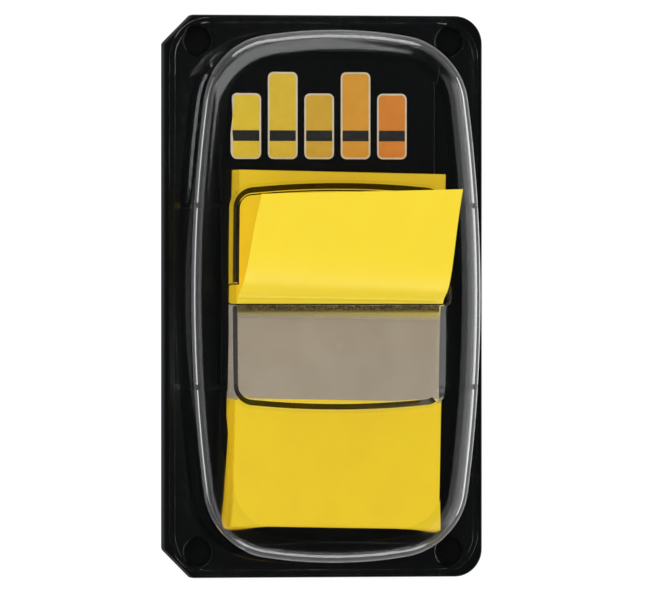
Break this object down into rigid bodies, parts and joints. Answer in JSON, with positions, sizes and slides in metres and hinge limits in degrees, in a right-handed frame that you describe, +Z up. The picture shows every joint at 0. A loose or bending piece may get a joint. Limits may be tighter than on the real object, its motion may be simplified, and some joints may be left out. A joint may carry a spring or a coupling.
{
  "type": "index flag dispenser",
  "caption": "Pop-up dispenser of film index flags: a black base, a clear domed cover with a slot and window, a pad of yellow-tipped flags and one flag pulled through.",
  "frame": {"origin": "middle of the base's flat back, on the surface that the dispenser lies on", "axes": "+Z up out of the back through the dome, +Y towards the top end, +X to the right seen from above"},
  "size_m": [0.0398, 0.0686, 0.0162],
  "materials": {
    "black_base": "black moulded plastic, satin, with fine scuffs",
    "clear_cover": "clear moulded plastic, glossy",
    "flag_film": "stacked film leaves with yellow tips, satin",
    "yellow_tip": "yellow printed film, satin"
  },
  "bodies": {
    "root": {"base": "black_base", "cover": "clear_cover", "flag_pad": "flag_film", "leading_flag": "yellow_tip"}
  },
  "joints": []
}
